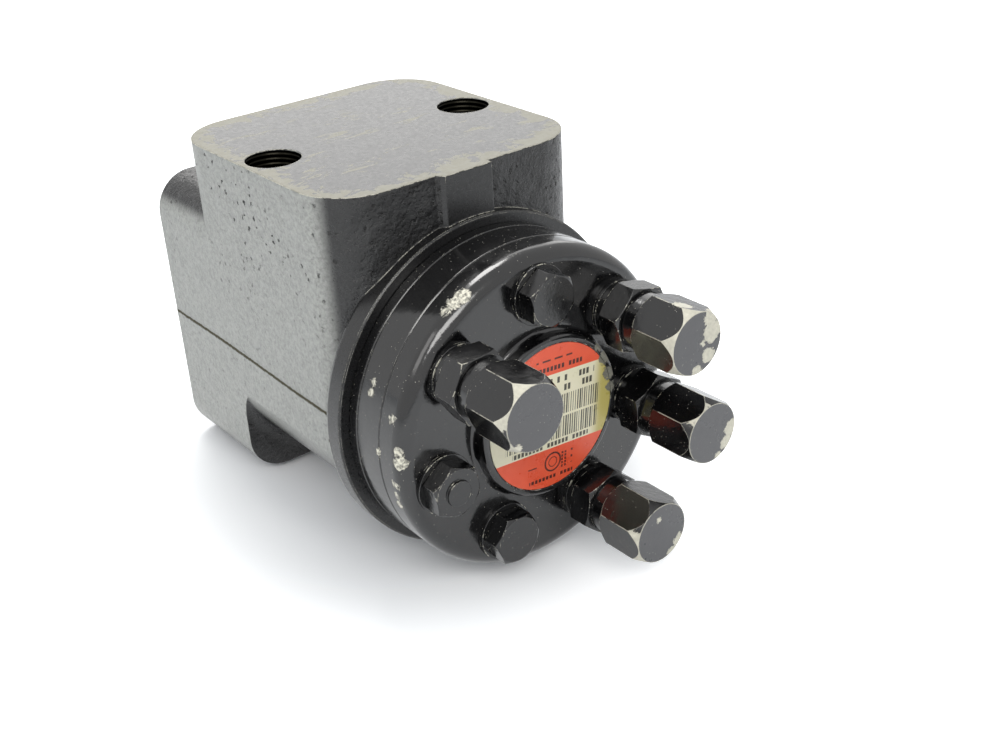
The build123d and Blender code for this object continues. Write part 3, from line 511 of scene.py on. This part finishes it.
    # bare band along the edge of the port face, from the distance to its rounded outline
    qx = add(m, "Math", reach_x, FACE_STRAIGHT_X, operation="SUBTRACT")
    qx = add(m, "Math", qx, 0.0, operation="MAXIMUM")
    qy = add(
        m, "Math",
        add(m, "Math", y, FACE_MIDDLE_Y, operation="SUBTRACT"),
        operation="ABSOLUTE",
    )
    qy = add(
        m, "Math",
        add(m, "Math", qy, FACE_STRAIGHT_Y, operation="SUBTRACT"),
        0.0,
        operation="MAXIMUM",
    )
    outline = add(m, "Math", off_axis(m, qx, qy, (0, 0)), FACE_CORNER, operation="SUBTRACT")
    rubbed = add(m, "TexNoise", p, 0.13, 6.0, 0.7, Distortion=0.6)
    uneven = add(
        m, "Math",
        add(m, "Math", rubbed, 0.5, operation="SUBTRACT"),
        36.0,
        operation="MULTIPLY",
    )
    band = add(
        m, "MapRange",
        add(m, "Math", outline, uneven, operation="ADD"),
        -BAND_WIDTH - 0.2, -BAND_WIDTH + 0.2,
        interpolation_type=SOFT,
    )
    drawn = add(m, "VectorMath", p, (0.35, 1.3, 1.0), operation="MULTIPLY")
    scratch = add(
        m, "MapRange",
        add(m, "TexNoise", drawn, 0.22, 6.0, 0.72, Distortion=0.5),
        0.585, 0.60,
        interpolation_type=SOFT,
    )
    scratch = add(
        m, "Math", scratch,
        add(m, "MapRange", wander, 0.40, 0.54, interpolation_type=SOFT),
        operation="MULTIPLY",
    )
    bare_face = add(
        m, "Math",
        add(m, "Math", band, scratch, operation="MAXIMUM"),
        port_face,
        operation="MULTIPLY",
    )

    edge = sharp_edges(m, 0.5, 0.80, 0.98)
    patchy = add(
        m, "MapRange",
        add(m, "TexNoise", p, 0.4, 4.0, 0.7),
        0.42, 0.52,
        interpolation_type=SOFT,
    )
    handled = add(
        m, "Math",
        add(m, "MapRange", z, PORT_FACE - 2.5, PORT_FACE - 0.3, interpolation_type=SOFT),
        add(m, "Math", rim, 0.8, operation="MULTIPLY"),
        operation="MAXIMUM",
    )
    open_ground = add(m, "Math", 1.0, holes, operation="SUBTRACT")
    worn_edge = add(m, "Math", edge, patchy, handled, open_ground, operation="MULTIPLY")

    # the sides are painted light grey with a grain: painted sheen, the reflection of the bright
    # floor beside them, over black paint
    side_sheen_grain = add(m, "MapRange", grain, 0.30, 0.70, interpolation_type=SOFT)
    painted_side_sheen = add(
        m, "Mix", side_sheen_grain,
        linear("#858682"),
        linear("#a7a8a3"),
        data_type="RGBA",
    )
    face = add(m, "Mix", grain, linear("#1f2021"), linear("#252627"), data_type="RGBA")
    face = add(m, "Mix", bare_face, face, linear("#767363"), data_type="RGBA")
    colour = add(m, "Mix", on_side, BLACK, painted_side_sheen, data_type="RGBA")
    colour = add(m, "Mix", port_face, colour, face, data_type="RGBA")
    # the blow holes stay near black, so the painted side sheen stops at them like shade in a
    # hollow
    colour = add(m, "Mix", pit, colour, linear("#121211"), data_type="RGBA")
    colour = add(m, "Mix", seam, colour, linear("#37321a"), data_type="RGBA")
    colour = add(m, "Mix", worn_edge, colour, BARE, data_type="RGBA")
    colour = add(m, "Mix", column_face, colour, linear("#7c7b78"), data_type="RGBA")
    # bores and threaded holes are coloured near black over bare machined metal: painted shade
    # inside the holes
    colour = add(m, "Mix", holes, colour, linear("#191814"), data_type="RGBA")
    gloss = add(m, "MapRange", grain, 0.3, 0.7, 0.24, 0.36, interpolation_type=SOFT)
    flat_gloss = add(m, "Math", on_side, 0.12, operation="MULTIPLY")
    rough = add(
        m, "Math", gloss, flat_gloss,
        add(m, "Math", bare_face, 0.16, operation="MULTIPLY"),
        operation="ADD",
    )
    sunk = add(m, "Math", pit, seam, operation="MAXIMUM")
    rough = add(m, "Mix", sunk, rough, 0.85)
    rough = add(m, "Mix", worn_edge, rough, 0.45)
    metallic = add(m, "Math", holes, column_face, operation="MAXIMUM")
    finish(m, shader, colour, rough, metallic, height, 0.7)
    return m


# ------------------------------------------------------------------ bare metals and rubber
def bare_steel(name, code, roughness, line=(0.2, 3.0, 0.2)):
    """Turned or ground steel: fine tool marks along one direction under a thin film of oil."""
    m, shader = new_material(name)
    p = place_mm(m)[0]
    marks = add(m, "TexNoise", add(m, "VectorMath", p, line, operation="MULTIPLY"), 2.0, 4.0, 0.6)
    cloud = add(m, "TexNoise", p, 0.2, 3.0, 0.5)
    darker = tuple(c * 0.7 for c in linear(code)[:3]) + (1.0,)
    colour = add(m, "Mix", cloud, linear(code), darker, data_type="RGBA")
    rough = add(
        m, "MapRange", marks, 0.3, 0.7, roughness * 0.8, roughness * 1.3,
        interpolation_type=SOFT,
    )
    finish(m, shader, colour, rough, 1.0, add(m, "Math", marks, 0.01, operation="MULTIPLY"), 0.15)
    return m


def nitrile():
    """Matt moulded nitrile rubber with a faint grey bloom."""
    m, shader = new_material("nitrile_rubber", 1.52)
    p = place_mm(m)[0]
    bloom = add(m, "TexNoise", p, 0.4, 3.0, 0.6)
    colour = add(m, "Mix", bloom, linear("#101011"), linear("#222223"), data_type="RGBA")
    skin = add(m, "Math", add(m, "TexNoise", p, 4.0), 0.01, operation="MULTIPLY")
    finish(
        m, shader, colour,
        add(m, "MapRange", bloom, 0.3, 0.7, 0.55, 0.75, interpolation_type=SOFT),
        0.0, skin, 0.2,
    )
    return m


# ------------------------------------------------------------------ dirt beside the label
DIRT = [
    (16.8, -131.0, 14.6, 1.6), (18.9, -131.0, 10.6, 2.2),
    (20.0, -131.0, 5.6, 2.0), (20.4, -131.0, 1.4, 1.4),
]


def soiled(m, shader, p):
    """Grey felted dirt over what the shader shows, in the corner beside the label."""
    mask = spots(m, p, DIRT, 5.5)
    tangle = add(m, "TexNoise", p, 1.6, 5.0, 0.75)
    dirt = add(m, "Mix", tangle, linear("#2c2b26"), linear("#a5a292"), data_type="RGBA")
    under = shader.inputs["Base Color"].links[0].from_socket
    feed(m, shader.inputs["Base Color"], add(m, "Mix", mask, under, dirt, data_type="RGBA"))
    rough = shader.inputs["Roughness"].links[0].from_socket
    feed(m, shader.inputs["Roughness"], add(m, "Mix", mask, rough, 0.9))
    relief = shader.inputs["Normal"].links[0].from_socket
    felt = add(m, "Math", mask, tangle, 0.5, operation="MULTIPLY")
    feed(m, shader.inputs["Normal"], add(m, "Bump", Height=felt, Distance=MM, Normal=relief))


# ------------------------------------------------------------------ label
LABEL_TURN = math.radians(5.2)
BAND_TOP = 12.2
BAND_LOW = -9.15
BAR_PITCH = 0.78
DASH = 1.25
BARS_UPPER = (-0.2, 5.5)
BARS_LOWER = (-6.9, -0.9)
BARS_ENDS = (-15.4, 16.4)
RING_CENTRE = (-0.3, -13.4)
RING_LINES = ((2.35, 2.85), (1.25, 1.5))
RING_STROKE = ((-13.7, -13.35), (-7.5, -4.6))
YELLOWED = (13.0, 17.5)

# rows of plain marks: along, across, low, high, start, end, share filled, pitch
DASH_ROWS = [
    ("u", 9.3, 11.0, -11.0, 14.0, 0.55, DASH), ("u", 6.5, 8.3, -9.0, 15.0, 0.6, DASH),
    ("u", -8.7, -7.4, -13.0, 13.0, 0.8, DASH), ("u", 13.3, 14.6, -9.0, 9.5, 0.9, DASH),
    ("u", 16.2, 16.7, -6.0, 6.0, 1.1, 4.0), ("u", -18.2, -17.2, -7.0, 8.0, 0.9, DASH),
    ("v", 3.9, 4.5, -16.0, -11.0, 0.8, 1.0), ("v", 5.0, 5.6, -16.0, -11.4, 0.7, 1.0),
    ("v", 7.2, 7.8, -15.5, -10.8, 0.7, 1.0),
]


def printed_label():
    """Glossy printed foil: orange ends, a cream band with two rows of bars, rows of plain dashes
    and a ring sign. It stands for no maker and says nothing. The right side has yellowed."""
    m, shader = new_material("printed_aluminium_label", 1.5)
    p, x, _, z = place_mm(m)
    cos, sin = math.cos(LABEL_TURN), math.sin(LABEL_TURN)
    across_x = add(m, "Math", x, cos, operation="MULTIPLY")
    across_z = add(m, "Math", z, -sin, operation="MULTIPLY")
    u = add(m, "Math", across_x, across_z, operation="ADD")
    up_x = add(m, "Math", x, sin, operation="MULTIPLY")
    up_z = add(m, "Math", z, cos, operation="MULTIPLY")
    v = add(m, "Math", up_x, up_z, operation="ADD")
    upper = within(m, v, *BARS_UPPER)
    rows = add(m, "Math", upper, within(m, v, *BARS_LOWER), operation="MAXIMUM")
    bars = add(m, "Math", u, BAR_PITCH, operation="DIVIDE")
    shift = add(m, "Math", upper, 31.0, operation="MULTIPLY")
    lot = add(m, "Math", add(m, "Math", bars, operation="FLOOR"), shift, operation="ADD")
    chance = add(m, "TexWhiteNoise", lot, noise_dimensions="1D")
    wide = add(
        m, "Math",
        add(m, "Math", chance, 0.5, operation="MULTIPLY"),
        0.22,
        operation="ADD",
    )
    dark = add(m, "Math", add(m, "Math", bars, operation="FRACT"), wide, operation="LESS_THAN")
    ink = add(m, "Math", rows, dark, within(m, u, *BARS_ENDS), operation="MULTIPLY")
    for way, low, high, start, end, share, pitch in DASH_ROWS:
        run, rise = (u, v) if way == "u" else (v, u)
        share_of = add(m, "Math", run, pitch, operation="DIVIDE")
        lot = add(
            m, "Math",
            add(m, "Math", share_of, operation="FLOOR"),
            low * 7.3,
            operation="ADD",
        )
        chance = add(m, "TexWhiteNoise", lot, noise_dimensions="1D")
        here = add(m, "Math", chance, share, operation="LESS_THAN")
        part = add(
            m, "Math",
            add(m, "Math", share_of, operation="FRACT"),
            0.68,
            operation="LESS_THAN",
        )
        row = add(
            m, "Math",
            within(m, rise, low, high),
            within(m, run, start, end),
            here, part,
            operation="MULTIPLY",
        )
        ink = add(m, "Math", ink, row, operation="MAXIMUM")
    ring = off_axis(m, x, z, RING_CENTRE)
    stroke = add(
        m, "Math",
        within(m, v, *RING_STROKE[0]),
        within(m, u, *RING_STROKE[1]),
        operation="MULTIPLY",
    )
    ink = add(
        m, "Math", ink,
        within(m, ring, *RING_LINES[0]),
        within(m, ring, *RING_LINES[1]),
        stroke,
        operation="MAXIMUM",
    )
    fade = add(m, "TexNoise", p, 0.25, 4.0, 0.6)
    orange = add(m, "Mix", fade, linear("#da4a2c"), linear("#e65f3c"), data_type="RGBA")
    cream = add(m, "Mix", fade, linear("#ddd6b4"), linear("#e5dfc6"), data_type="RGBA")
    cream = add(
        m, "Mix",
        add(m, "MapRange", u, *YELLOWED, interpolation_type=SOFT),
        cream,
        linear("#b9ac63"),
        data_type="RGBA",
    )
    paper = add(m, "Mix", within(m, v, BAND_LOW, BAND_TOP), orange, cream, data_type="RGBA")
    solid = add(m, "Math", ink, 0.92, operation="MULTIPLY")
    colour = add(m, "Mix", solid, paper, linear("#17130f"), data_type="RGBA")
    ripple = add(m, "Math", add(m, "TexNoise", p, 0.3, 2.0), 0.05, operation="MULTIPLY")
    finish(
        m, shader, colour,
        add(m, "MapRange", fade, 0.3, 0.7, 0.25, 0.42, interpolation_type=SOFT),
        0.0, ripple, 0.1,
    )
    soiled(m, shader, p)
    return m


# ------------------------------------------------------------------ dress the nodes
DRESS = [
    (cast_enamel(), ["housing"]),
    (turned_enamel(), ["distributor_plate", "gear_ring", "end_cover"]),
    (nut_enamel(), ["cap_nuts", "stud_nuts", "cover_screws", "check_screw", "washers"]),
    (bare_steel("ground_steel", "#a8a7a3", 0.22),
     ["spool", "sleeve", "cross_pin", "cardan_shaft", "spacer", "gear_rotor", "check_seat"]),
    (bare_steel("lapped_bearing_steel", "#c2c2c0", 0.12),
     ["outer_bearing_race", "inner_bearing_race", "needle_cage", "bearing_needles", "check_ball"]),
    (bare_steel("blued_spring_steel", "#4a4b52", 0.3), ["spring_ring", "centring_springs"]),
    (bare_steel("rolled_steel", "#8d8a84", 0.35), ["cover_studs"]),
    (nitrile(), ["dust_seal", "shaft_seal", "housing_o_ring", "plate_o_ring", "cover_o_ring"]),
    (printed_label(), ["label_plate"]),
]
for material, names in DRESS:
    for name in names:
        nodes[name].data.materials.clear()
        nodes[name].data.materials.append(material)

# ------------------------------------------------------------------ floor
# the unit lies on the foot of its flange and on the rim of its cover end
RIM_FRONT = -104.0
FLANGE_FOOT = -43.2
FLOOR_GAP = 0.0002
rim_foot = Vector((0, RIM_FRONT, -RIM_RADIUS)) * MM
flange_foot = Vector((0, 0.0, FLANGE_FOOT)) * MM
tilt = math.atan2(flange_foot.z - rim_foot.z, flange_foot.y - rim_foot.y)
bpy.ops.mesh.primitive_plane_add(
    size=6.0, location=rim_foot - Vector((0, 0, FLOOR_GAP)), rotation=(tilt, 0, 0),
)
floor = bpy.context.object
floor.name = "floor"

# matt white paper with a painted glow seen only by the camera: faint near the part, so a ring of
# painted shade lies round it, and strong away from it, where it turns to a pure white ground
white, shader = new_material("white_paper_sweep")
paths = add(white, "LightPath").node
_, x, y, _ = place_mm(white)
# in the floor's own millimetres, from the foot of the rim
PART_MIDDLE = (0, 50.0)
PAPER_TO, GROUND_FROM = 52.0, 125.0
PAPER_GLOW, GROUND_GLOW, MIRRORED_GLOW = 0.04, 0.75, 0.25
far = add(
    white, "MapRange",
    off_axis(white, x, y, PART_MIDDLE),
    PAPER_TO, GROUND_FROM, PAPER_GLOW, GROUND_GLOW,
    interpolation_type=SOFT,
)
glow = add(white, "Math", paths.outputs["Is Camera Ray"], far, operation="MULTIPLY")
shine = add(white, "Math", paths.outputs["Is Glossy Ray"], MIRRORED_GLOW, operation="MULTIPLY")
feed(white, shader.inputs["Base Color"], linear("#f1f2f3"))
feed(white, shader.inputs["Roughness"], 0.9)
feed(white, shader.inputs["Emission Color"], (1.0, 1.0, 1.0, 1.0))
feed(white, shader.inputs["Emission Strength"], add(white, "Math", glow, shine, operation="ADD"))
floor.data.materials.append(white)

# ------------------------------------------------------------------ studio
# a white room seen and mirrored as plain white, with a cooler, weaker light of its own
world = bpy.data.worlds.new("world")
scene.world = world
world.use_nodes = True
backdrop = world.node_tree.nodes["Background"]
PLAIN, COOL = (1, 1, 1, 1), (0.86, 0.93, 1.0, 1)
OWN_LIGHT = 0.46
paths = add(world, "LightPath").node
seen = add(
    world, "Math",
    paths.outputs["Is Camera Ray"], paths.outputs["Is Glossy Ray"],
    paths.outputs["Is Transmission Ray"],
    operation="MAXIMUM",
)
feed(world, backdrop.inputs[0], add(world, "Mix", seen, COOL, PLAIN, data_type="RGBA"))
feed(world, backdrop.inputs[1], add(world, "Mix", seen, OWN_LIGHT, 1.0))


LAMP_WHITE = (1.0, 0.985, 0.965)


def softbox(name, place, target, width, height, power):
    """A soft rectangular lamp at a place, turned to a target."""
    data = bpy.data.lights.new(name, "AREA")
    data.shape = "RECTANGLE"
    data.size = width
    data.size_y = height
    data.energy = power
    data.color = LAMP_WHITE
    lamp = bpy.data.objects.new(name, data)
    scene.collection.objects.link(lamp)
    lamp.location = place
    lamp.rotation_mode = "QUATERNION"
    lamp.rotation_quaternion = (Vector(target) - Vector(place)).to_track_quat("-Z", "Y")


softbox("left", (-1.1, -0.1, 0.9), (0, -0.06, 0), 0.6, 0.6, 2.5)
softbox("above_camera", (-0.40, -0.8, 0.74), (0, -0.1, 0), 0.8, 0.35, 6.5)
softbox("overhead", (0.2, 0.45, 1.15), (0, -0.06, 0), 0.5, 0.5, 8.0)
softbox("behind", (0.75, 0.95, 0.65), (0, -0.06, 0), 1.2, 0.9, 5.0)
